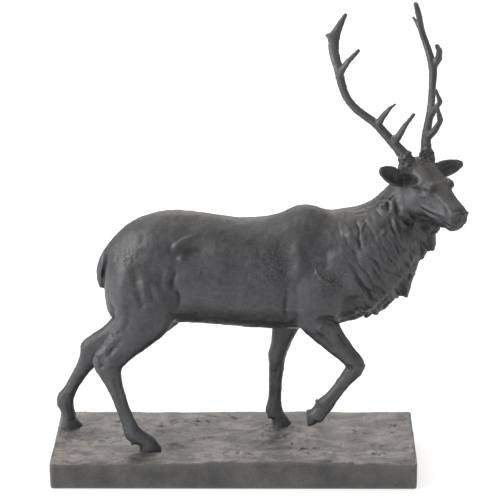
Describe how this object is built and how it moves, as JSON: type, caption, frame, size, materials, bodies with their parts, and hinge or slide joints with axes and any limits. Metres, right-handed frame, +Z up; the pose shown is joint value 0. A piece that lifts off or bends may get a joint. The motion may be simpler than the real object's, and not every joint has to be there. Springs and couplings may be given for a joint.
{
  "type": "cast iron stag statue",
  "caption": "Standing antlered stag cast in dark iron, head turned to its right and one foreleg lifted, on a flat rectangular ground slab; an ornament that rests on its underside.",
  "frame": {"origin": "centre of the flat underside of the base", "axes": "+X along the base towards the stag's chest and head, +Y to the stag's left, +Z up"},
  "size_m": [0.4036, 0.1629, 0.4601],
  "materials": {
    "stag_iron": "matt dark grey casting, lightly pitted",
    "base_iron": "matt brownish grey casting, rough on top, smoother at the edges"
  },
  "bodies": {
    "root": {"stag": "stag_iron", "base": "base_iron"}
  },
  "joints": []
}
